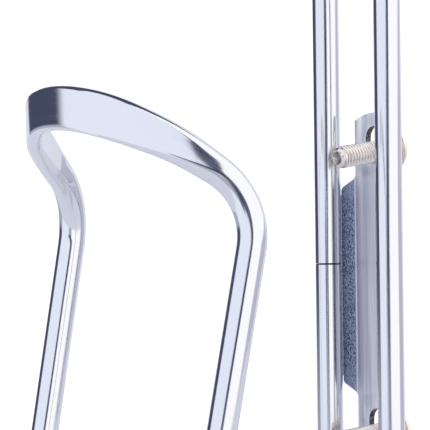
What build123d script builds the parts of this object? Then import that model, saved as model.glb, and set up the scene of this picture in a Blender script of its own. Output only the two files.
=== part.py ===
from build123d import *
import os
from math import cos, pi, radians, sin, sqrt, tan

# Rod-type water bottle cage for a bicycle frame. Millimetres.
# Frame: origin at the centre of the slot pattern, on the plate face that meets the bicycle's tube.
# +Y points into the bicycle's tube, -Y towards the bottle, +Z up the rails, X across the cage.

# Rod and rails
rod_d = 6.0  # solid round bar
rails_apart = 22.3  # between the axes of the two rails
rail_top = 82.0  # axis of the hoop that joins the rails
hoop_flat = 1.1  # straight left at the middle of the hoop
butt_joint_z = 5.0  # where the two ends of the rod meet, on the -X rail
butt_gap = 0.12
end_chamfer = 0.25

# Base, under the bottle
base_z = -62.0  # axis of the two base runs
rail_foot_r = 12.0
leg_foot = (33.4, -74.2)
leg_foot_r = 12.0

# Front legs and strap: corners of the rod's centre line on the +X side, each with its bend radius
hip = (35.5, -58.4, 19.6)
hip_r = 15.8
shoulder = (25.6, -71.9, 31.0)
shoulder_r = 43.0
front = (12.2, -84.4, 38.6)
front_r = 27.5

# The strap is the same rod, pressed flat round the front
strap_w = 9.1
strap_t = 3.2
strap_crown = 0.05  # bulge of each flat, from the press
strap_start = 0.6  # share of the run from hip to shoulder at which the flat begins
strap_stations = 17  # sections along the strap, from one hip to the other

# Bottle
bottle_d = 73.0

# Mounting plate
plate_t = 1.5
strip_w = 13.6
plate_end_land = 3.1  # metal past each slot at the plate's ends
plate_end_r = 15.0
slots_apart = 64.0
slot_side_clear = 0.25  # beside a bolt, each side
slot_run = 2.9  # how much longer than wide each slot is
plate_to_rails = 3.2  # from the plate's tube side forward to the back of the rails
wing_root_len = 49.4
wing_edge_len = 44.5
wing_corner_r = 1.2
wing_turn = 34.0  # degrees that a wing turns forward from the strip
weld_gap = 0.15  # between a wing's outer edge and its rail, before welding
weld_r = 0.62
weld_out = 0.41  # from the wing's front outer edge to the bead's axis, along the wing
weld_back = 0.37  # and behind the wing's front face
weld_len = 42.0

# Frame bolts, M5, put in from the tube side and hanging loose in the slots
bolt_d = 5.0
bolt_len = 16.0
point_chamfer = 0.7
point_cup_d = 3.3
point_cup_depth = 0.9
head_d = 9.5
head_h = 2.75
head_rim = 0.4
socket_flats = 3.0
socket_depth = 1.8
head_standoff = 3.9  # from the plate's tube side back to the underside of the head
upper_droop = 8.0  # degrees, point down
lower_droop = 5.5
slot_clear = 0.03

rod_r = rod_d / 2
rail_x = rails_apart / 2
rail_y = -plate_to_rails - rod_r
hoop_bend_r = (rails_apart - hoop_flat) / 2
bottle_axis_y = rail_y - sqrt((bottle_d / 2 + rod_r) ** 2 - rail_x**2)
strip_x = strip_w / 2
slot_w = bolt_d + 2 * slot_side_clear
slot_len = slot_w + slot_run
plate_len = slots_apart + slot_len + 2 * plate_end_land


def mirrored(point):
    """The same point on the -X side."""
    return (-point[0], point[1], point[2])


def swept_rod(path):
    """Round bar along a path."""
    start = Plane(origin=path @ 0, z_dir=path % 0)
    return sweep(start * Circle(rod_r), path=path)


def rod_end_break(z, up):
    """A ring that takes the sharp edge off a sawn end of the rod, at height z on the -X rail."""
    height = end_chamfer if up else -end_chamfer
    ring = Cylinder(rod_r + 1, end_chamfer) - Cone(
        rod_r - (0 if up else end_chamfer), rod_r - (end_chamfer if up else 0), end_chamfer
    )
    return Pos(-rail_x, rail_y, z - height / 2) * ring


def strap_section(path, place):
    """The rod's section at a share of the strap's path: round at the hips, flat at the front."""
    squash = (1 - cos(2 * pi * place)) / 2
    round_corner = rod_r / sqrt(2)
    corner_x = round_corner + squash * (strap_t / 2 - strap_crown - round_corner)
    corner_y = round_corner + squash * ((strap_w - strap_t) / 2 - round_corner)
    half_t = rod_r + squash * (strap_t / 2 - rod_r)
    half_w = rod_r + squash * (strap_w / 2 - rod_r)
    flats = [
        ThreePointArc((side * corner_x, -corner_y), (side * half_t, 0), (side * corner_x, corner_y))
        for side in (-1, 1)
    ]
    edges = [
        ThreePointArc((-corner_x, side * corner_y), (0, side * half_w), (corner_x, side * corner_y))
        for side in (-1, 1)
    ]
    centre = path @ place
    along_rod = path % place
    outward = Vector(centre.X, centre.Y - bottle_axis_y, 0)
    outward = outward - along_rod * outward.dot(along_rod)
    return Plane(origin=centre, x_dir=outward, z_dir=along_rod) * make_face(flats + edges)


def make_cage_rod():
    """One closed loop of bar: rails, hoop, base, legs and the flattened strap."""
    strap_foot = tuple(h + strap_start * (s - h) for h, s in zip(hip, shoulder))
    strap_path = FilletPolyline(
        mirrored(strap_foot),
        mirrored(shoulder),
        mirrored(front),
        front,
        shoulder,
        strap_foot,
        radius=[shoulder_r, front_r, front_r, shoulder_r],
    )
    places = [i / (strap_stations - 1) for i in range(strap_stations)]
    strap = loft([strap_section(strap_path, place) for place in places])

    foot = (leg_foot[0], leg_foot[1], base_z)
    low = butt_joint_z - butt_gap / 2
    high = butt_joint_z + butt_gap / 2
    upper_path = FilletPolyline(
        (-rail_x, rail_y, high),
        (-rail_x, rail_y, rail_top),
        (rail_x, rail_y, rail_top),
        (rail_x, rail_y, base_z),
        foot,
        hip,
        strap_foot,
        radius=[hoop_bend_r, hoop_bend_r, rail_foot_r, leg_foot_r, hip_r],
    )
    lower_path = FilletPolyline(
        (-rail_x, rail_y, low),
        (-rail_x, rail_y, base_z),
        mirrored(foot),
        mirrored(hip),
        mirrored(strap_foot),
        radius=[rail_foot_r, leg_foot_r, hip_r],
    )
    rod = swept_rod(upper_path) + strap + swept_rod(lower_path)
    return rod - rod_end_break(low, True) - rod_end_break(high, False)


def wing_len():
    """Length of a wing's front face, from the bend until its outer edge is the gap off its rail."""
    turn = radians(wing_turn)
    reach_x = rail_x - strip_x
    reach_y = plate_to_rails + rod_r - plate_t
    along = reach_x * cos(turn) + reach_y * sin(turn)
    aside = reach_y * cos(turn) - reach_x * sin(turn)
    return along - sqrt((rod_r + weld_gap) ** 2 - aside**2)


def wing_frame(side):
    """Plane on a wing's front face: x runs out along the wing, y up, z towards the bottle."""
    turn = radians(wing_turn)
    outward = (side * cos(turn), -sin(turn), 0)
    towards_bottle = (-side * sin(turn), -cos(turn), 0)
    return Plane(origin=(side * strip_x, -plate_t, 0), x_dir=outward, z_dir=towards_bottle)


def make_mounting_plate():
    """Pressed sheet: a slotted strip with a wing bent forward along each long edge."""
    arch = plate_end_r - sqrt(plate_end_r**2 - strip_x**2)
    side_z = plate_len / 2 - arch
    outline = [
        Line((-strip_x, -side_z), (-strip_x, side_z)),
        ThreePointArc((-strip_x, side_z), (0, plate_len / 2), (strip_x, side_z)),
        Line((strip_x, side_z), (strip_x, -side_z)),
        ThreePointArc((strip_x, -side_z), (0, -plate_len / 2), (-strip_x, -side_z)),
    ]
    tube_side = Plane(origin=(0, 0, 0), x_dir=(1, 0, 0), z_dir=(0, -1, 0))
    plate = extrude(tube_side * make_face(outline), amount=plate_t)
    wing = make_face(
        Polyline(
            (-plate_t / 4, -wing_root_len / 2),
            (-plate_t / 4, wing_root_len / 2),
            (0, wing_root_len / 2),
            (wing_len(), wing_edge_len / 2),
            (wing_len(), -wing_edge_len / 2),
            (0, -wing_root_len / 2),
            close=True,
        )
    )
    wing = fillet(wing.vertices().sort_by(Axis.X)[-2:], wing_corner_r)
    for side in (-1, 1):
        plate += extrude(wing_frame(side) * wing, amount=-plate_t)
    for side in (-1, 1):
        cut = Plane(origin=(0, 0, side * slots_apart / 2), x_dir=(0, 0, 1), z_dir=(0, 1, 0))
        slot = SlotOverall(slot_len, slot_w)
        plate -= extrude(cut * slot, amount=plate_t, both=True)
    return plate


def make_weld(side, plate):
    """Weld bead between a wing's outer edge and the back of its rail."""
    seat = wing_frame(side) * Pos(wing_len() + weld_out, 0, -weld_back)
    bead = seat * Rot(90, 0, 0) * Cylinder(weld_r, weld_len)
    rail = Pos(side * rail_x, rail_y, 0) * Cylinder(rod_r, 2 * weld_len)
    bead = bead - rail - plate
    return max(bead.solids(), key=lambda solid: solid.volume)


def bolt_rest_z(droop):
    """How far below the slot's centre the bolt's axis crosses the plate's mid thickness."""
    tilt = radians(droop)
    half_height = bolt_d / 2 / cos(tilt) + plate_t / 2 * tan(tilt)
    return slot_len / 2 - half_height - slot_clear


def make_bolt(side, droop):
    """One M5 bolt: the point hangs towards the bottle, the head stands behind the plate."""
    shank = Pos(0, 0, bolt_len / 2) * Cylinder(bolt_d / 2, bolt_len)
    shank = chamfer(shank.edges().sort_by(Axis.Z)[-1], point_chamfer)
    cup = Pos(0, 0, bolt_len - point_cup_depth / 2) * Cone(
        point_cup_d / 4, point_cup_d / 2, point_cup_depth
    )
    dome_h = head_h - head_rim
    dome_r = ((head_d / 2) ** 2 + dome_h**2) / (2 * dome_h)
    head = Pos(0, 0, -head_h / 2) * Cylinder(head_d / 2, head_h)
    head &= Pos(0, 0, dome_r - head_h) * Sphere(dome_r) + Pos(0, 0, dome_r) * Cylinder(
        head_d, 2 * dome_r
    )
    socket = extrude(
        Plane(origin=(0, 0, -head_h)) * RegularPolygon(socket_flats / 2, 6, major_radius=False),
        amount=socket_depth,
    )
    bolt = shank - cup + head - socket
    mid_y = -plate_t / 2
    under_head = head_standoff + plate_t / 2
    hang = Pos(0, mid_y, side * slots_apart / 2 - bolt_rest_z(droop)) * Rot(droop, 0, 0)
    return hang * Pos(0, under_head, 0) * Rot(90, 0, 0) * bolt


mounting_plate = make_mounting_plate()
parts = {
    "cage_rod": make_cage_rod(),
    "mounting_plate": mounting_plate,
    "weld_left": make_weld(-1, mounting_plate),
    "weld_right": make_weld(1, mounting_plate),
    "upper_bolt": make_bolt(1, upper_droop),
    "lower_bolt": make_bolt(-1, lower_droop),
}

os.makedirs("parts", exist_ok=True)
for name, shape in parts.items():
    export_step(shape, f"parts/{name}.step")

print(f"bottle axis y {bottle_axis_y:.2f}")
for droop in (upper_droop, lower_droop):
    print(f"slot travel at droop {droop}: {2 * bolt_rest_z(droop):.2f}")
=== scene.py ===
from math import atan2, ceil, cos, pi, radians, sin, sqrt, tan

import bpy
import numpy as np
from mathutils import Matrix, Vector


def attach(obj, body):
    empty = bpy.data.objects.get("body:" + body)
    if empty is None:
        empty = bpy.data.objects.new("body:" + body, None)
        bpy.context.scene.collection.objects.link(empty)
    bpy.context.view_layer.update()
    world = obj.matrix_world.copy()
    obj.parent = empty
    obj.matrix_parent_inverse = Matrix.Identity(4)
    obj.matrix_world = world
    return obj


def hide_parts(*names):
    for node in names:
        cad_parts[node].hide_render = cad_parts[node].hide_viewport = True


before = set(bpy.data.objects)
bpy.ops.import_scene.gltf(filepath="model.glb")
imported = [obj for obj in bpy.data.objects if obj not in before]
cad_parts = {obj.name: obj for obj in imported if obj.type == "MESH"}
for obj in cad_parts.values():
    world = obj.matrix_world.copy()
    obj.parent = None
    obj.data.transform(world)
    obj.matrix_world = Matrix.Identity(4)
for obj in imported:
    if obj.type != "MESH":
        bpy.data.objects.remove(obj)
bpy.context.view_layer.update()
bpy.ops.object.select_all(action="DESELECT")
mm = 0.001

# ---- Cage rod
# One closed loop of 6 mm round aluminium bar, drawn, bent round formers and polished bright.
# Its two sawn ends butt together half way up the -X rail. At the front the bar is pressed
# between flat dies into a strap for the bottle.
ROD_R = 3.0 * mm
ROD_SIDES = 96
RAIL_X = 11.15 * mm
RAIL_Y = -6.2 * mm
BUTT_Z = 5.0 * mm
BUTT_GAP = 0.12 * mm
END_CHAMFER = 0.13 * mm
BOTTLE_AXIS_Y = -44.09 * mm
STRAP_T = 3.2 * mm
STRAP_W = 9.1 * mm
STRAP_CROWN = 0.05 * mm
STRAP_BLEND = 38.0 * mm  # how far along the bar the flats take to reach their full depth
STRAP_TWIST = radians(22)  # how far each flat is turned up where it begins
FLAT_SPREAD = 0.55  # how much wider the dies leave each flat than they found it
STRAP_SWELL = 0.4 * mm  # how far the half-pressed bar stands out at the shoulders
STRAP_START = 0.0  # share of the run from hip to shoulder at which the flats begin
STRAP_STEP = 1.2 * mm  # spacing of the bar's rings along the runs that are pressed
STRAIGHT_STEP = 40 * mm  # and along the ones that stay round
BEND_STEP = 1.0 * mm  # and round the bends
HIP = Vector((35.5, -58.4, 19.6)) * mm
SHOULDER = Vector((25.6, -71.9, 31.0)) * mm
right_half = [  # each corner of the bar's centre line, with its bend radius
    (Vector((11.15, -6.2, 82.0)) * mm, 10.6 * mm),
    (Vector((11.15, -6.2, -62.0)) * mm, 12.0 * mm),
    (Vector((33.4, -74.2, -62.0)) * mm, 12.0 * mm),
    (HIP, 15.8 * mm),
    (SHOULDER, 43.0 * mm),
    (Vector((12.2, -84.4, 38.6)) * mm, 27.5 * mm),
]
to_left = Vector((-1, 1, 1))
left_half = [(corner * to_left, radius) for corner, radius in right_half]
bends = [left_half[0]] + right_half + left_half[:0:-1]
bar_start = Vector((-RAIL_X, RAIL_Y, BUTT_Z + BUTT_GAP / 2))
bar_end = Vector((-RAIL_X, RAIL_Y, BUTT_Z - BUTT_GAP / 2))


def turned(vector, axis, angle):
    """A vector turned about an axis, right-handed."""
    return Matrix.Rotation(angle, 3, axis) @ vector


def pull_bar(rings, move, steps):
    """Draw the selected end of the bar out straight, noting each ring that is left."""
    centre, heading, across, along = rings[-1]
    for step in range(1, steps + 1):
        bpy.ops.mesh.extrude_region_move(TRANSFORM_OT_translate={"value": move / steps})
        part = move * step / steps
        rings.append((centre + part, heading, across, along + part.length))


def bend_bar(rings, onward, radius, steps):
    """Wind the selected end of the bar round a former until it heads onward."""
    centre, heading, across, along = rings[-1]
    axis = heading.cross(onward).normalized()
    turn = heading.angle(onward)
    pivot = centre + axis.cross(heading) * radius
    # The spin operator turns the other way from the right-hand rule.
    bpy.ops.mesh.spin(steps=steps, angle=-turn, center=pivot, axis=axis)
    for step in range(1, steps + 1):
        part = turn * step / steps
        rings.append(
            (
                pivot + turned(centre - pivot, axis, part),
                turned(heading, axis, part),
                turned(across, axis, part),
                along + radius * part,
            )
        )


bpy.ops.mesh.primitive_circle_add(
    vertices=ROD_SIDES, radius=ROD_R, fill_type="NOTHING", location=bar_start
)
cage_bar = bpy.context.object
cage_bar.name = "cage_bar"
bpy.ops.object.mode_set(mode="EDIT")
bpy.ops.mesh.select_all(action="SELECT")
rings = [(bar_start, Vector((0, 0, 1)), Vector((1, 0, 0)), 0.0)]
stops = [corner for corner, radius in bends] + [bar_end]
for (corner, radius), onward_stop in zip(bends, stops[1:]):
    heading = rings[-1][1]
    onward = (onward_stop - corner).normalized()
    turn = heading.angle(onward)
    straight = corner - heading * radius * tan(turn / 2) - rings[-1][0]
    in_front = min(corner.z, onward_stop.z) >= HIP.z and corner.y < BOTTLE_AXIS_Y
    spacing = STRAP_STEP if in_front else STRAIGHT_STEP
    pull_bar(rings, straight, max(1, ceil(straight.length / spacing)))
    bend_bar(rings, onward, radius, max(6, ceil(turn * radius / BEND_STEP)))
pull_bar(rings, bar_end - rings[-1][0], 2)
bpy.ops.object.mode_set(mode="OBJECT")
bpy.ops.object.transform_apply(location=True, rotation=True, scale=True)


def nearest_rings(mesh):
    """Vertex places, and for each the number of the bar's ring that it belongs to."""
    places = np.empty(len(mesh.vertices) * 3)
    mesh.vertices.foreach_get("co", places)
    places = places.reshape(-1, 3)
    centres = np.array([ring[0] for ring in rings])
    gaps = ((places[:, None, :] - centres[None, :, :]) ** 2).sum(axis=2)
    return places, gaps.argmin(axis=1)


def pressed(angle, squash):
    """Where a point of the round bar lands in the die: along its thickness and its width."""
    half_t = ROD_R + squash * (STRAP_T / 2 - ROD_R)
    half_w = ROD_R + squash * (STRAP_W / 2 - ROD_R)
    flat_w = sqrt(ROD_R**2 - half_t**2) * (1 + FLAT_SPREAD * squash)
    corner_t = half_t - STRAP_CROWN * squash
    half_turns = round(angle / pi)
    from_flat = angle - half_turns * pi
    corner_angle = atan2(flat_w, half_t)
    if abs(from_flat) <= corner_angle:
        side = half_t * tan(from_flat)
        out = half_t - STRAP_CROWN * squash * (side / flat_w) ** 2
    else:
        share = (abs(from_flat) - corner_angle) / (pi / 2 - corner_angle)
        rise = half_w - flat_w
        edge_r = (corner_t**2 + rise**2) / (2 * rise)
        reach = atan2(corner_t, edge_r - rise) * (1 - share)
        out = edge_r * sin(reach)
        side = half_w - edge_r + edge_r * cos(reach)
        side = side if from_flat > 0 else -side
    return Vector((out, side)) if half_turns % 2 == 0 else Vector((-out, -side))


strap_foot = HIP.lerp(SHOULDER, STRAP_START)
foot_ring = min(rings, key=lambda ring: (ring[0] - strap_foot).length)
foot_along = foot_ring[3] + (strap_foot - foot_ring[0]).dot(foot_ring[1])
front_rings = [ring for ring in rings if ring[0].y < BOTTLE_AXIS_Y]
middle_ring = min(front_rings, key=lambda ring: abs(ring[0].x))
middle_along = middle_ring[3] + middle_ring[0].x
strap_len = 2 * (middle_along - foot_along)
places, owners = nearest_rings(cage_bar.data)
for vertex, owner in zip(cage_bar.data.vertices, owners):
    centre, heading, across, along = rings[owner]
    from_end = min(along - foot_along, foot_along + strap_len - along)
    if from_end <= 0:
        continue
    squash = sin(pi / 2 * min(1, from_end / STRAP_BLEND)) ** 2
    outward = Vector((centre.x, centre.y - BOTTLE_AXIS_Y, 0))
    outward = (outward - heading * outward.dot(heading)).normalized()
    outward = turned(outward, heading, STRAP_TWIST * (1 - squash) ** 2)
    upward = heading.cross(outward)
    spoke = vertex.co - centre
    spot = pressed(atan2(spoke.dot(upward), spoke.dot(outward)), squash)
    swell = STRAP_SWELL * 4 * squash * (1 - squash)
    vertex.co = centre + outward * (spot.x + swell) + upward * spot.y


def pick(piece):
    """Make one piece the only one that is selected, and the active one."""
    bpy.ops.object.select_all(action="DESELECT")
    bpy.context.view_layer.objects.active = piece
    piece.select_set(True)


def select_faces(piece, wanted):
    """Enter edit mode with just the faces for which wanted(face) holds."""
    pick(piece)
    bpy.ops.object.mode_set(mode="EDIT")
    bpy.ops.mesh.select_mode(type="FACE")
    bpy.ops.mesh.select_all(action="DESELECT")
    bpy.ops.object.mode_set(mode="OBJECT")
    for face in piece.data.polygons:
        face.select = wanted(face)
    bpy.ops.object.mode_set(mode="EDIT")


bpy.ops.object.mode_set(mode="EDIT")
bpy.ops.mesh.select_all(action="SELECT")
bpy.ops.mesh.fill_holes(sides=0)
bpy.ops.mesh.select_all(action="SELECT")
bpy.ops.mesh.normals_make_consistent(inside=False)
bpy.ops.object.mode_set(mode="OBJECT")
select_faces(cage_bar, lambda face: len(face.vertices) == ROD_SIDES)
bpy.ops.mesh.bevel(offset=END_CHAMFER, segments=1)
bpy.ops.object.mode_set(mode="OBJECT")
bpy.ops.object.shade_smooth_by_angle(angle=radians(38))

# The die lines run along the bar, so each point keeps its place round and along it.
places, owners = nearest_rings(cage_bar.data)
drawn = cage_bar.data.attributes.new("drawn_mm", "FLOAT_VECTOR", "POINT")
rim_mm = ROD_R / mm
for number, (place, owner) in enumerate(zip(places, owners)):
    centre, heading, across, along = rings[owner]
    spoke = Vector(place) - centre
    round_bar = atan2(spoke.dot(heading.cross(across)), spoke.dot(across))
    reach = along + spoke.dot(heading)
    drawn.data[number].vector = (rim_mm * cos(round_bar), rim_mm * sin(round_bar), reach / mm)


def linear(hex_colour):
    """An sRGB hex colour as linear RGBA."""
    channels = [int(hex_colour[i : i + 2], 16) / 255 for i in (1, 3, 5)]
    return [c / 12.92 if c <= 0.04045 else ((c + 0.055) / 1.055) ** 2.4 for c in channels] + [1]


def add_node(tree, kind, links, **settings):
    """Add a node: settings go on it, and links on its inputs, each a value or a socket."""
    node = tree.nodes.new(kind)
    for name, value in settings.items():
        setattr(node, name, value)
    for name, value in links.items():
        if isinstance(value, bpy.types.NodeSocket):
            tree.links.new(value, node.inputs[name])
        else:
            node.inputs[name].default_value = value
    return node


def new_metal(name, colour, roughness):
    """A bare metal, with its node tree and shader."""
    metal = bpy.data.materials.new(name)
    metal.use_nodes = True
    shader = metal.node_tree.nodes["Principled BSDF"]
    shader.inputs["Metallic"].default_value = 1.0
    shader.inputs["Base Color"].default_value = linear(colour)
    shader.inputs["Roughness"].default_value = roughness
    return metal, metal.node_tree, shader


# Aluminium bar, drawn through a die and then polished: a bright mirror with hard-edged bands,
# crossed along its length by faint die lines. The lines are about 0.1 mm apart on the real
# bar, and are drawn 0.3 mm apart to show.
polished_bar, tree, shader = new_metal("polished_drawn_aluminium", "#F1F2F5", 0.1)
drawn_at = add_node(tree, "ShaderNodeAttribute", {}, attribute_name="drawn_mm")
stretched = add_node(
    tree, "ShaderNodeMapping", {"Vector": drawn_at.outputs["Vector"], "Scale": (1, 1, 0.02)}
)
die_lines = add_node(
    tree, "ShaderNodeTexNoise", {"Vector": stretched.outputs["Vector"], "Scale": 3.2, "Detail": 3.0}
)
line_roughness = add_node(
    tree,
    "ShaderNodeMapRange",
    {
        "Value": die_lines.outputs["Fac"],
        "From Min": 0.3,
        "From Max": 0.7,
        "To Min": 0.07,
        "To Max": 0.15,
    },
)
tree.links.new(line_roughness.outputs["Result"], shader.inputs["Roughness"])
line_bump = add_node(
    tree,
    "ShaderNodeBump",
    {"Height": die_lines.outputs["Fac"], "Strength": 0.25, "Distance": 0.008 * mm},
)
tree.links.new(line_bump.outputs["Normal"], shader.inputs["Normal"])
cage_bar.data.materials.append(polished_bar)

# The sawn ends in the butt joint are dull and dark, with saw marks 0.25 mm apart.
sawn_end, tree, shader = new_metal("sawn_aluminium_end", "#3E3C44", 0.5)
saw_at = add_node(tree, "ShaderNodeTexCoord", {}).outputs["Object"]
saw_stretch = add_node(tree, "ShaderNodeMapping", {"Vector": saw_at, "Scale": (4000, 300, 300)})
saw_marks = add_node(
    tree, "ShaderNodeTexNoise", {"Vector": saw_stretch.outputs["Vector"], "Scale": 1.0}
)
saw_bump = add_node(
    tree,
    "ShaderNodeBump",
    {"Height": saw_marks.outputs["Fac"], "Strength": 0.5, "Distance": 0.03 * mm},
)
tree.links.new(saw_bump.outputs["Normal"], shader.inputs["Normal"])
cage_bar.data.materials.append(sawn_end)
for face in cage_bar.data.polygons:
    at_butt = abs(face.center.z - BUTT_Z) < BUTT_GAP + END_CHAMFER
    face.material_index = 1 if at_butt and abs(face.normal.z) > 0.5 else 0
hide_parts("cage_rod")
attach(cage_bar, "cage")

# ---- Mounting plate
# A strip of 1.5 mm aluminium sheet, blanked with arched ends and two long slots for the frame
# bolts. A wing along each side is pressed forward to the back of a rail, where it is welded.
PLATE_T = 1.5 * mm
STRIP_X = 6.8 * mm
PLATE_TOP = 39.3 * mm
PLATE_END_R = 15.0 * mm
WING_ROOT_Z = 24.7 * mm
WING_EDGE_Z = 22.25 * mm
WING_LEN = 3.445 * mm
WING_TURN = radians(34.0)
WING_CORNER = 0.63 * mm
BEND_R = 0.45 * mm
EDGE_BREAK = 0.13 * mm
SLOT_HALF_W = 2.75 * mm
SLOT_STRETCH = 1.45 * mm
SLOT_Z = 32.0 * mm
PUNCH_DEPTH = 4 * mm
END_STEPS = 20
PICK_REACH = 0.01 * mm  # how far off its place a point may lie and still be picked
WALL_REACH = 0.02 * mm  # how far out of a slot its torn wall still shows

bpy.ops.mesh.primitive_plane_add(size=2, location=(0, -PLATE_T, 0), rotation=(pi / 2, 0, 0))
plate = bpy.context.object
plate.name = "slotted_plate"
bpy.ops.transform.resize(value=(STRIP_X, 1, PLATE_TOP))
bpy.ops.object.transform_apply(location=True, rotation=True, scale=True)
bpy.ops.object.mode_set(mode="EDIT")
for cut_z in (-WING_ROOT_Z, WING_ROOT_Z):
    bpy.ops.mesh.select_all(action="SELECT")
    bpy.ops.mesh.bisect(plane_co=(0, 0, cut_z), plane_no=(0, 0, 1))
bpy.ops.object.mode_set(mode="OBJECT")


def select_edges(piece, wanted):
    """Enter edit mode with just the edges for which wanted(one end, other end) holds."""
    pick(piece)
    bpy.ops.object.mode_set(mode="EDIT")
    bpy.ops.mesh.select_mode(type="EDGE")
    bpy.ops.mesh.select_all(action="DESELECT")
    bpy.ops.object.mode_set(mode="OBJECT")
    spots = [vertex.co for vertex in piece.data.vertices]
    for edge in piece.data.edges:
        edge.select = wanted(spots[edge.vertices[0]], spots[edge.vertices[1]])
    bpy.ops.object.mode_set(mode="EDIT")


def on_end(one, other):
    """Whether an edge is one of the strip's two ends."""
    return min(abs(one.z), abs(other.z)) > PLATE_TOP - PICK_REACH


select_edges(plate, on_end)
bpy.ops.mesh.subdivide(number_cuts=END_STEPS)
bpy.ops.object.mode_set(mode="OBJECT")
for vertex in plate.data.vertices:
    if abs(vertex.co.z) > PLATE_TOP - PICK_REACH:
        arch = PLATE_END_R - sqrt(PLATE_END_R**2 - vertex.co.x**2)
        vertex.co.z -= arch if vertex.co.z > 0 else -arch

for side in (-1, 1):
    root_x = side * STRIP_X

    def on_root(one, other):
        """Whether an edge is the one that this side's wing grows from."""
        at_side = max(abs(one.x - root_x), abs(other.x - root_x)) < PICK_REACH
        return at_side and max(abs(one.z), abs(other.z)) < WING_ROOT_Z + PICK_REACH

    select_edges(plate, on_root)
    outward = Vector((side * cos(WING_TURN), -sin(WING_TURN), 0)) * WING_LEN
    bpy.ops.mesh.extrude_region_move(TRANSFORM_OT_translate={"value": outward})
    bpy.ops.transform.resize(value=(1, 1, WING_EDGE_Z / WING_ROOT_Z))
    bpy.ops.mesh.select_mode(type="VERT")
    bpy.ops.mesh.bevel(offset=WING_CORNER, segments=6, affect="VERTICES")
    bpy.ops.object.mode_set(mode="OBJECT")
    select_edges(plate, on_root)
    bpy.ops.mesh.bevel(offset=BEND_R, segments=4)
    bpy.ops.object.mode_set(mode="OBJECT")


def apply_modifier(piece, kind, **settings):
    """Add a modifier with its settings and apply it."""
    pick(piece)
    modifier = piece.modifiers.new(kind.lower(), kind)
    for name, value in settings.items():
        setattr(modifier, name, value)
    bpy.ops.object.modifier_apply(modifier=modifier.name)


def cut_away(piece, cutter, operation="DIFFERENCE"):
    """Cut one solid from another, or join the two, and drop the tool."""
    apply_modifier(piece, "BOOLEAN", object=cutter, operation=operation, solver="EXACT")
    bpy.data.objects.remove(cutter)


apply_modifier(plate, "SOLIDIFY", thickness=PLATE_T, offset=-1, use_even_offset=True)
for slot_z in (-SLOT_Z, SLOT_Z):
    bpy.ops.mesh.primitive_cylinder_add(vertices=48, radius=SLOT_HALF_W, depth=PUNCH_DEPTH)
    punch = bpy.context.object
    # Half a facet's turn leaves no vertex on the line where the punch is drawn apart.
    punch.data.transform(Matrix.Rotation(pi / 48, 4, "Z"))
    for vertex in punch.data.vertices:
        vertex.co.y += SLOT_STRETCH if vertex.co.y > 0 else -SLOT_STRETCH
    punch.rotation_euler = (pi / 2, 0, 0)
    punch.location = (0, 0, slot_z)
    bpy.ops.object.transform_apply(location=True, rotation=True, scale=True)
    cut_away(plate, punch)
apply_modifier(
    plate,
    "BEVEL",
    width=EDGE_BREAK,
    segments=2,
    limit_method="ANGLE",
    angle_limit=radians(50),
)
bpy.ops.object.shade_smooth_by_angle(angle=radians(30))

# Rolled aluminium sheet, blanked and left dull: grey-blue, with rolling lines along the strip.
# The lines are about 0.1 mm apart on the real sheet. To show, they are drawn as bands of
# 2.4 mm that are split into finer ones, down to 0.3 mm. The wings are painted a darker blue-grey,
# a painted shade for their corner between strip and rail, and paler again toward their ends, with
# grains 0.2 mm wide and 0.4 mm long.
rolled_sheet, tree, shader = new_metal("rolled_aluminium_sheet", "#D5D8E2", 0.36)
at = add_node(tree, "ShaderNodeTexCoord", {}).outputs["Object"]
along_strip = add_node(tree, "ShaderNodeMapping", {"Vector": at, "Scale": (1000, 1000, 25)})
rolling_lines = add_node(
    tree,
    "ShaderNodeTexNoise",
    {"Vector": along_strip.outputs["Vector"], "Scale": 0.42, "Detail": 3.0},
)
grain_at = add_node(tree, "ShaderNodeMapping", {"Vector": at, "Scale": (5200, 5200, 2400)})
grain = add_node(
    tree, "ShaderNodeTexNoise", {"Vector": grain_at.outputs["Vector"], "Scale": 1.0, "Detail": 2.0}
)
place = add_node(tree, "ShaderNodeSeparateXYZ", {"Vector": at}).outputs
from_middle = add_node(
    tree, "ShaderNodeMath", {0: place["X"]}, operation="ABSOLUTE"
).outputs["Value"]
on_wing = add_node(
    tree,
    "ShaderNodeMapRange",
    {"Value": from_middle, "From Min": STRIP_X, "From Max": STRIP_X + 0.3 * mm},
).outputs["Result"]
line_share = add_node(
    tree,
    "ShaderNodeMapRange",
    {"Value": rolling_lines.outputs["Fac"], "From Min": 0.38, "From Max": 0.62},
).outputs["Result"]
grain_share = add_node(
    tree, "ShaderNodeMapRange", {"Value": grain.outputs["Fac"], "From Min": 0.38, "From Max": 0.66}
).outputs["Result"]
# Inputs 6 and 7 of a Mix node are its two colours, and its output 2 is the colour between.
strip_colour = add_node(
    tree,
    "ShaderNodeMix",
    {0: line_share, 6: linear("#CDD1DD"), 7: linear("#FDFDFF")},
    data_type="RGBA",
).outputs[2]
# The wings' dark blue-grey is painted shade for their corner between strip and rail, flecked paler
# along the grain.
wing_grain_and_painted_shade = add_node(
    tree,
    "ShaderNodeMix",
    {0: grain_share, 6: linear("#46527A"), 7: linear("#C4CCE4")},
    data_type="RGBA",
).outputs[2]
from_centre = add_node(
    tree, "ShaderNodeMath", {0: place["Z"]}, operation="ABSOLUTE"
).outputs["Value"]
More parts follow.
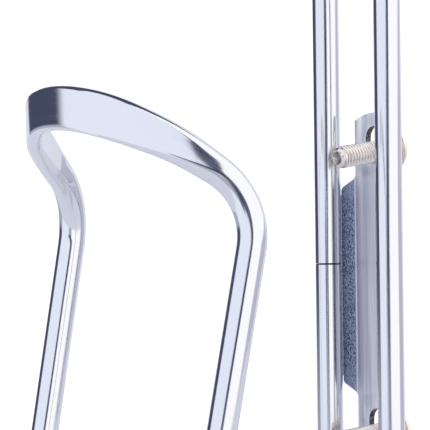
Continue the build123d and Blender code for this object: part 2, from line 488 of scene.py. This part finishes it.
# Toward the wings' ends the painted shade is lifted paler.
near_end = add_node(
    tree,
    "ShaderNodeMapRange",
    {"Value": from_centre, "From Min": 17 * mm, "From Max": 24 * mm, "To Max": 0.65},
).outputs["Result"]
wing_grain_and_painted_shade = add_node(
    tree,
    "ShaderNodeMix",
    {0: near_end, 6: wing_grain_and_painted_shade, 7: linear("#AEB6D2")},
    data_type="RGBA",
).outputs[2]
sheet_colour = add_node(
    tree, "ShaderNodeMix", {0: on_wing, 6: strip_colour, 7: wing_grain_and_painted_shade}, data_type="RGBA"
).outputs[2]
tree.links.new(sheet_colour, shader.inputs["Base Color"])
sheet_roughness = add_node(
    tree, "ShaderNodeMapRange", {"Value": on_wing, "To Min": 0.34, "To Max": 0.5}
).outputs["Result"]
tree.links.new(sheet_roughness, shader.inputs["Roughness"])
rolling_bump = add_node(
    tree,
    "ShaderNodeBump",
    {"Height": rolling_lines.outputs["Fac"], "Strength": 0.5, "Distance": 0.01 * mm},
)
grain_bump = add_node(
    tree,
    "ShaderNodeBump",
    {
        "Height": grain.outputs["Fac"],
        "Strength": on_wing,
        "Distance": 0.06 * mm,
        "Normal": rolling_bump.outputs["Normal"],
    },
)
tree.links.new(grain_bump.outputs["Normal"], shader.inputs["Normal"])
# The punched walls of the slots are dull and painted dark, a painted shade for the inside of the
# slots, with tears through the sheet 0.17 mm apart that fleck them pale as painted highlights.
sheared_edge, tree, shader = new_metal("sheared_aluminium_edge", "#54505A", 0.4)
tears_at = add_node(tree, "ShaderNodeTexCoord", {}).outputs["Object"]
torn = add_node(tree, "ShaderNodeMapping", {"Vector": tears_at, "Scale": (6000, 1500, 6000)})
tears = add_node(tree, "ShaderNodeTexNoise", {"Vector": torn.outputs["Vector"], "Scale": 1.0})
# The slot walls' colour is painted shade, with pale flecks of painted highlight along the tears.
torn_shade_and_glints = add_node(tree, "ShaderNodeValToRGB", {"Fac": tears.outputs["Fac"]})
shade_and_glint_stops = torn_shade_and_glints.color_ramp.elements
for stop, (position, colour) in zip(shade_and_glint_stops, ((0.46, "#3C3638"), (0.62, "#A8A6AE"))):
    stop.position = position
    stop.color = linear(colour)
tree.links.new(torn_shade_and_glints.outputs["Color"], shader.inputs["Base Color"])
tear_bump = add_node(
    tree,
    "ShaderNodeBump",
    {"Height": tears.outputs["Fac"], "Strength": 0.6, "Distance": 0.05 * mm},
)
tree.links.new(tear_bump.outputs["Normal"], shader.inputs["Normal"])
plate.data.materials.clear()
plate.data.materials.append(rolled_sheet)
plate.data.materials.append(sheared_edge)
for face in plate.data.polygons:
    in_width = abs(face.center.x) < SLOT_HALF_W + WALL_REACH
    in_length = abs(abs(face.center.z) - SLOT_Z) < SLOT_HALF_W + SLOT_STRETCH + WALL_REACH
    face.material_index = 1 if in_width and in_length and abs(face.normal.y) < 0.9 else 0
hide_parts("mounting_plate")
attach(plate, "cage")

# ---- Weld beads
# Two runs of aluminium filler, each laid puddle by puddle between a wing's outer edge and the
# back of its rail, which leaves a ripple for every puddle.
WELD_R = 0.6 * mm
WELD_X = 10.2 * mm
WELD_Y = -3.35 * mm
RIPPLE = 0.9 * mm
RIPPLE_STEPS = 4
RIPPLES = 46
BEAD_START = 0.8  # thickness of the bead's two ends, as a share of its full thickness
RIPPLE_TAPER = 0.16  # share of its thickness that the bead loses along one ripple

# Bare filler, with a frost 0.4 mm across.
weld_finish, tree, shader = new_metal("aluminium_weld_bead", "#F0F2F8", 0.42)
at = add_node(tree, "ShaderNodeTexCoord", {}).outputs["Object"]
frost = add_node(tree, "ShaderNodeTexNoise", {"Vector": at, "Scale": 2500.0, "Detail": 2.0})
frost_bump = add_node(
    tree, "ShaderNodeBump", {"Height": frost.outputs["Fac"], "Strength": 0.4, "Distance": 0.02 * mm}
)
tree.links.new(frost_bump.outputs["Normal"], shader.inputs["Normal"])
for side, hand in ((-1, "left"), (1, "right")):
    foot = (side * WELD_X, WELD_Y, -RIPPLES * RIPPLE / 2)
    bpy.ops.mesh.primitive_circle_add(
        vertices=24, radius=WELD_R * BEAD_START, fill_type="NGON", location=foot
    )
    bead = bpy.context.object
    bead.name = f"{hand}_weld_bead"
    bpy.ops.object.mode_set(mode="EDIT")
    bpy.ops.mesh.select_all(action="SELECT")
    thickness = BEAD_START
    for step in range(1, RIPPLES * RIPPLE_STEPS + 1):
        puddle = (step % RIPPLE_STEPS) / RIPPLE_STEPS
        wanted = 1.0 - RIPPLE_TAPER * puddle
        bpy.ops.mesh.extrude_region_move(
            TRANSFORM_OT_translate={"value": (0, 0, RIPPLE / RIPPLE_STEPS)}
        )
        bpy.ops.transform.resize(value=(wanted / thickness, wanted / thickness, 1))
        thickness = wanted
    bpy.ops.mesh.select_all(action="SELECT")
    bpy.ops.mesh.normals_make_consistent(inside=False)
    bpy.ops.object.mode_set(mode="OBJECT")
    bpy.ops.object.transform_apply(location=True, rotation=True, scale=True)
    bpy.ops.object.shade_smooth_by_angle(angle=radians(60))
    bead.data.materials.append(weld_finish)
    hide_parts(f"weld_{hand}")
    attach(bead, "cage")

# ---- Frame bolts
# Two M5 x 16 button-head socket screws of bright zinc-plated steel with rolled threads. They
# are put in from the bicycle side, and hang loose in the slots with their points down. Rolling
# leaves a cup in the point.
BOLT_R = 2.5 * mm
THREAD_ROOT_R = 2.06 * mm
THREAD_PITCH = 0.8 * mm
BOLT_LEN = 16.0 * mm
LEAD_LEN = 1.5 * mm
LEAD_R = 2.28 * mm
THREAD_RUNOUT = 0.4  # share of the lead in which the thread dies away
POINT_START = 0.6  # share of the lead after which the point narrows
POINT_R = 1.8 * mm
CUP_R = 1.55 * mm
CUP_LIP = 0.03 * mm
CUP_ROUND = 0.08 * mm
CUP_DEPTH = 0.9 * mm
HEAD_R = 4.75 * mm
HEAD_H = 2.75 * mm
HEAD_RIM = 0.4 * mm
HEAD_BITE = 0.3 * mm  # how far the shank runs on into the head
SOCKET_FLATS = 3.0 * mm
SOCKET_DEPTH = 1.8 * mm
HEAD_STANDOFF = 3.9 * mm
hangs = {  # each bolt's slot centre, how far below it the bolt rests, and its droop
    "upper_bolt": (SLOT_Z, 1.54 * mm, radians(8.0)),
    "lower_bolt": (-SLOT_Z, 1.586 * mm, radians(5.5)),
}

thread_profile = [  # radius and height up one pitch of the thread
    (THREAD_ROOT_R, 0.0),
    (THREAD_ROOT_R, 0.06),
    (BOLT_R - 0.08 * mm, 0.26),
    (BOLT_R, 0.38),
    (BOLT_R, 0.68),
    (BOLT_R - 0.08 * mm, 0.8),
    (THREAD_ROOT_R, 1.0),
]
thread_start = -2 * THREAD_PITCH
thread_turns = round(BOLT_LEN / THREAD_PITCH) + 4
bpy.ops.mesh.primitive_plane_add(size=1 * mm, location=(0, 0, 0))
bolt = bpy.context.object
bpy.ops.object.mode_set(mode="EDIT")
bpy.ops.mesh.merge(type="CENTER")
bpy.ops.mesh.select_mode(type="VERT")
bpy.ops.mesh.select_all(action="SELECT")
bpy.ops.transform.translate(value=(thread_profile[0][0], 0, thread_start))
for (r_here, z_here), (r_next, z_next) in zip(thread_profile, thread_profile[1:]):
    move = (r_next - r_here, 0, (z_next - z_here) * THREAD_PITCH)
    bpy.ops.mesh.extrude_vertices_move(TRANSFORM_OT_translate={"value": move})
bpy.ops.object.mode_set(mode="OBJECT")
apply_modifier(
    bolt,
    "SCREW",
    angle=2 * pi,
    screw_offset=THREAD_PITCH,
    iterations=thread_turns,
    steps=40,
    render_steps=40,
)
bpy.ops.object.mode_set(mode="EDIT")
bpy.ops.mesh.select_all(action="SELECT")
bpy.ops.mesh.remove_doubles(threshold=0.001 * mm)
for cut_z, keep_above in ((-HEAD_BITE, True), (BOLT_LEN, False)):
    bpy.ops.mesh.select_all(action="SELECT")
    bpy.ops.mesh.bisect(
        plane_co=(0, 0, cut_z),
        plane_no=(0, 0, 1),
        use_fill=True,
        clear_inner=keep_above,
        clear_outer=not keep_above,
    )
bpy.ops.mesh.select_all(action="SELECT")
bpy.ops.mesh.normals_make_consistent(inside=False)
bpy.ops.object.mode_set(mode="OBJECT")
for vertex in bolt.data.vertices:
    into_lead = (vertex.co.z - (BOLT_LEN - LEAD_LEN)) / LEAD_LEN
    if into_lead > 0:
        radius = sqrt(vertex.co.x**2 + vertex.co.y**2)
        runout = min(1.0, into_lead / THREAD_RUNOUT)
        into_point = max(0.0, into_lead - POINT_START) / (1 - POINT_START)
        lead_r = LEAD_R - (LEAD_R - POINT_R) * into_point
        wanted = radius + (lead_r - radius) * runout
        vertex.co.x *= wanted / radius
        vertex.co.y *= wanted / radius
select_faces(bolt, lambda face: face.normal.z > 0.99 and face.center.z > BOLT_LEN - PICK_REACH)
bpy.ops.mesh.inset(thickness=CUP_LIP)
bpy.ops.mesh.inset(thickness=POINT_R - CUP_R)
for depth, shrink in ((CUP_ROUND, 0.95), (CUP_DEPTH, 0.6)):
    bpy.ops.mesh.extrude_region_move(TRANSFORM_OT_translate={"value": (0, 0, -depth)})
    bpy.ops.transform.resize(value=(shrink, shrink, 1))
bpy.ops.mesh.inset(thickness=CUP_LIP)
bpy.ops.object.mode_set(mode="OBJECT")

bpy.ops.mesh.primitive_circle_add(vertices=64, radius=HEAD_R, fill_type="NGON")
head = bpy.context.object
bpy.ops.object.mode_set(mode="EDIT")
bpy.ops.mesh.select_all(action="SELECT")
bpy.ops.mesh.extrude_region_move(TRANSFORM_OT_translate={"value": (0, 0, -HEAD_RIM)})
dome_h = HEAD_H - HEAD_RIM
dome_r = (HEAD_R**2 + dome_h**2) / (2 * dome_h)
rim_angle = atan2(HEAD_R, dome_r - dome_h)
dome_steps = 12
for step in range(dome_steps - 1):
    here = rim_angle * (1 - step / dome_steps)
    onward = rim_angle * (1 - (step + 1) / dome_steps)
    rise = dome_r * (cos(onward) - cos(here))
    bpy.ops.mesh.extrude_region_move(TRANSFORM_OT_translate={"value": (0, 0, -rise)})
    shrink = sin(onward) / sin(here)
    bpy.ops.transform.resize(value=(shrink, shrink, 1), center_override=(0, 0, 0))
bpy.ops.mesh.select_all(action="SELECT")
bpy.ops.mesh.normals_make_consistent(inside=False)
bpy.ops.object.mode_set(mode="OBJECT")
cut_away(bolt, head, "UNION")
bpy.ops.mesh.primitive_cylinder_add(
    vertices=6,
    radius=SOCKET_FLATS / sqrt(3),
    depth=2 * SOCKET_DEPTH,
    location=(0, 0, -HEAD_H),
)
hex_punch = bpy.context.object
bpy.ops.object.transform_apply(location=True, rotation=True, scale=True)
cut_away(bolt, hex_punch)
bpy.ops.object.shade_smooth_by_angle(angle=radians(35))

# Zinc-plated steel: warm silver, bright on the crests of the thread and cloudy in patches of
# 1.1 mm. The thread's roots and the cup in the point are painted dark, a painted shade, so each
# point keeps its distance from the axis.
ROOT_SHADE_R_MM = 2.08  # up to this radius the thread is dark
BRIGHT_R_MM = 2.22  # and from this one it is bright
CUP_SHADE_MM = 2.14  # the cup has the shade of this radius
UNSHADED_LEAD = 0.7  # share of the lead, at the point, that is left without the painted shade
radius_mm = bolt.data.attributes.new("radius_mm", "FLOAT", "POINT")
for number, vertex in enumerate(bolt.data.vertices):
    in_thread = 0 < vertex.co.z < BOLT_LEN - LEAD_LEN * UNSHADED_LEAD
    radius = sqrt(vertex.co.x**2 + vertex.co.y**2)
    in_cup = vertex.co.z > BOLT_LEN / 2 and radius < CUP_R * 0.97
    shade_r = radius if in_thread else BOLT_R
    radius_mm.data[number].value = CUP_SHADE_MM if in_cup else shade_r / mm
plated_steel, tree, shader = new_metal("zinc_plated_steel", "#FBF8F5", 0.3)
radius_at = add_node(tree, "ShaderNodeAttribute", {}, attribute_name="radius_mm")
crest = add_node(
    tree,
    "ShaderNodeMapRange",
    {"Value": radius_at.outputs["Fac"], "From Min": ROOT_SHADE_R_MM, "From Max": BRIGHT_R_MM},
).outputs["Result"]
# The dark colour in the thread's roots and in the cup is painted shade.
thread_colour = add_node(
    tree,
    "ShaderNodeMix",
    {0: crest, 6: linear("#352923"), 7: linear("#FFF6EC")},
    data_type="RGBA",
).outputs[2]
tree.links.new(thread_colour, shader.inputs["Base Color"])
at = add_node(tree, "ShaderNodeTexCoord", {}).outputs["Object"]
cloud = add_node(tree, "ShaderNodeTexNoise", {"Vector": at, "Scale": 900.0, "Detail": 2.0})
plating_roughness = add_node(
    tree, "ShaderNodeMapRange", {"Value": cloud.outputs["Fac"], "To Min": 0.18, "To Max": 0.32}
)
tree.links.new(plating_roughness.outputs["Result"], shader.inputs["Roughness"])
bolt.data.materials.clear()
bolt.data.materials.append(plated_steel)
for body, (slot_z, rest_drop, droop) in hangs.items():
    hung = bolt.copy()
    hung.data = bolt.data.copy()
    hung.name = f"{body}_screw"
    bpy.context.collection.objects.link(hung)
    at_slot = Matrix.Translation((0, -PLATE_T / 2, slot_z - rest_drop))
    tilted = Matrix.Rotation(droop, 4, "X")
    drawn_back = Matrix.Translation((0, HEAD_STANDOFF + PLATE_T / 2, 0))
    facing_bottle = Matrix.Rotation(pi / 2, 4, "X")
    hung.data.transform(at_slot @ tilted @ drawn_back @ facing_bottle)
    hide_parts(body)
    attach(hung, body)
bpy.data.objects.remove(bolt)

# ---- Floor
# A round pale table top under the base's bends, small enough that the rails still mirror the
# room beyond its edge. It is a little darker in that mirror than it is to look at.
TABLE_R = 290 * mm
TABLE_Z = -65.0 * mm
bpy.ops.mesh.primitive_circle_add(
    vertices=128, radius=TABLE_R, fill_type="NGON", location=(0, 0, TABLE_Z)
)
floor = bpy.context.object
floor.name = "floor"
table_top = bpy.data.materials.new("pale_matt_laminate")
table_top.use_nodes = True
floor_shader = table_top.node_tree.nodes["Principled BSDF"]
in_mirror = add_node(table_top.node_tree, "ShaderNodeLightPath", {}).outputs["Is Glossy Ray"]
floor_colour = add_node(
    table_top.node_tree,
    "ShaderNodeMix",
    {0: in_mirror, 6: linear("#F6F7F9"), 7: linear("#D0D2DE")},
    data_type="RGBA",
).outputs[2]
table_top.node_tree.links.new(floor_colour, floor_shader.inputs["Base Color"])
floor_shader.inputs["Roughness"].default_value = 0.9
floor_shader.inputs["Specular IOR Level"].default_value = 0.1
floor.data.materials.append(table_top)

# ---- Studio light
# A tall cool softbox stands to the front left of the cage and a white one to its right, with a
# dark gap between them that leans over as it rises. Dark cloth hangs on the left, and the walls
# behind are pale. Angles are in degrees round the object, 0 in front of the cage and 90 on its
# +X side, and up from the horizon. The backdrop itself is white, and so is the light that falls
# on the table top.
studio = bpy.data.worlds.new("studio")
studio.use_nodes = True
bpy.context.scene.world = studio
tree = studio.node_tree
tree.nodes.clear()
towards = add_node(tree, "ShaderNodeTexCoord", {}).outputs["Generated"]
ways = add_node(tree, "ShaderNodeSeparateXYZ", {"Vector": towards}).outputs

# Each sum: what it finds, its operation, and what it works on, by name or as a number.
sums = [
    ("to_front", "MULTIPLY", ("Y", -1.0)),
    ("compass_turn", "ARCTAN2", ("X", "to_front")),
    ("compass", "DEGREES", ("compass_turn",)),
    ("rise", "ARCSINE", ("Z",)),
    ("height", "DEGREES", ("rise",)),
    ("height_up", "MAXIMUM", ("height", 0.0)),
    ("height_share", "DIVIDE", ("height_up", 60.0)),
    ("gap_curve", "SQRT", ("height_share",)),
    ("gap_lean", "MULTIPLY", ("gap_curve", 44.0)),
    ("gap_middle", "ADD", ("gap_lean", 39.0)),
    ("height_in_20", "DIVIDE", ("height_up", 20.0)),
    ("gap_narrowing", "ADD", ("height_in_20", 1.0)),
    ("from_gap", "SUBTRACT", ("compass", "gap_middle")),
    ("past_gap", "MULTIPLY", ("from_gap", "gap_narrowing")),
    ("cloth_lean", "MULTIPLY", ("height_up", 0.33)),
    ("from_left_cloth", "ADD", ("compass", "cloth_lean")),
    ("wall_lean", "MULTIPLY", ("height_up", 1.0)),
    ("from_wall", "ADD", ("compass", "wall_lean")),
    ("right_wall_lean", "MULTIPLY", ("height_up", 4.0)),
    ("from_right_wall", "SUBTRACT", ("compass", "right_wall_lean")),
    ("sees_backdrop", "MAXIMUM", ("Is Camera Ray", "Is Diffuse Ray")),
]
found = {"X": ways["X"], "Y": ways["Y"], "Z": ways["Z"]}
ray = add_node(tree, "ShaderNodeLightPath", {}).outputs
found["Is Camera Ray"] = ray["Is Camera Ray"]
found["Is Diffuse Ray"] = ray["Is Diffuse Ray"]
for name, operation, terms in sums:
    values = {number: found.get(term, term) for number, term in enumerate(terms)}
    found[name] = add_node(tree, "ShaderNodeMath", values, operation=operation).outputs["Value"]
# Each panel: its colour, and the limits it lies between, as a measure with where the panel's
# edge starts to show and where it is full. They are the ground, a low screen at the back, the
# left and the right wall, and then the cool and the white softbox.
above_ground = ("height", -60.0, -42.0)
panels = [
    ("#A9ABB8", [("height", -1.5, -7.0)]),
    ("#5E6884", [("compass", 156.0, 166.0), ("height", -40.0, -33.0), ("height", -11.0, -16.0)]),
    ("#DCDDE6", [("from_wall", -92.0, -98.0), ("height", 58.0, 46.0)]),
    ("#B9B7C8", [("compass", 100.0, 125.0), ("height", 62.0, 50.0), ("height", -12.0, -9.0)]),
    ("#E6EAF7", [("from_left_cloth", -48.0, -37.0), ("past_gap", -8.0, -17.0), above_ground]),
    ("#FFFFFF", [("past_gap", 8.0, 17.0), ("from_right_wall", 138.0, 127.0), above_ground]),
]
room_colour = None
for panel_colour, limits in panels:
    share = 1.0
    for measure, starts, full in limits:
        step = add_node(
            tree,
            "ShaderNodeMapRange",
            {"Value": found[measure], "From Min": starts, "From Max": full},
            interpolation_type="SMOOTHSTEP",
        )
        share = add_node(
            tree, "ShaderNodeMath", {0: share, 1: step.outputs["Result"]}, operation="MULTIPLY"
        ).outputs["Value"]
    behind = room_colour or linear("#434860")
    room_colour = add_node(
        tree, "ShaderNodeMix", {0: share, 6: behind, 7: linear(panel_colour)}, data_type="RGBA"
    ).outputs[2]
room = add_node(tree, "ShaderNodeBackground", {"Color": room_colour, "Strength": 1.08})
backdrop = add_node(tree, "ShaderNodeBackground", {"Color": (1, 1, 1, 1), "Strength": 1.12})
surroundings = add_node(
    tree,
    "ShaderNodeMixShader",
    {0: found["sees_backdrop"], 1: room.outputs["Background"], 2: backdrop.outputs["Background"]},
)
add_node(tree, "ShaderNodeOutputWorld", {"Surface": surroundings.outputs["Shader"]})

# ---- Camera
# Level with the cage and to its front right, close in on the rails, with a long lens.
bpy.ops.object.camera_add(
    location=Vector((362.2, -289.3, 16.5)) * mm, rotation=(pi / 2, radians(0.71), radians(56))
)
camera = bpy.context.object
camera.data.lens = 170.5
camera.data.clip_start = 0.01
bpy.context.scene.camera = camera
bpy.context.scene.view_settings.view_transform = "Standard"
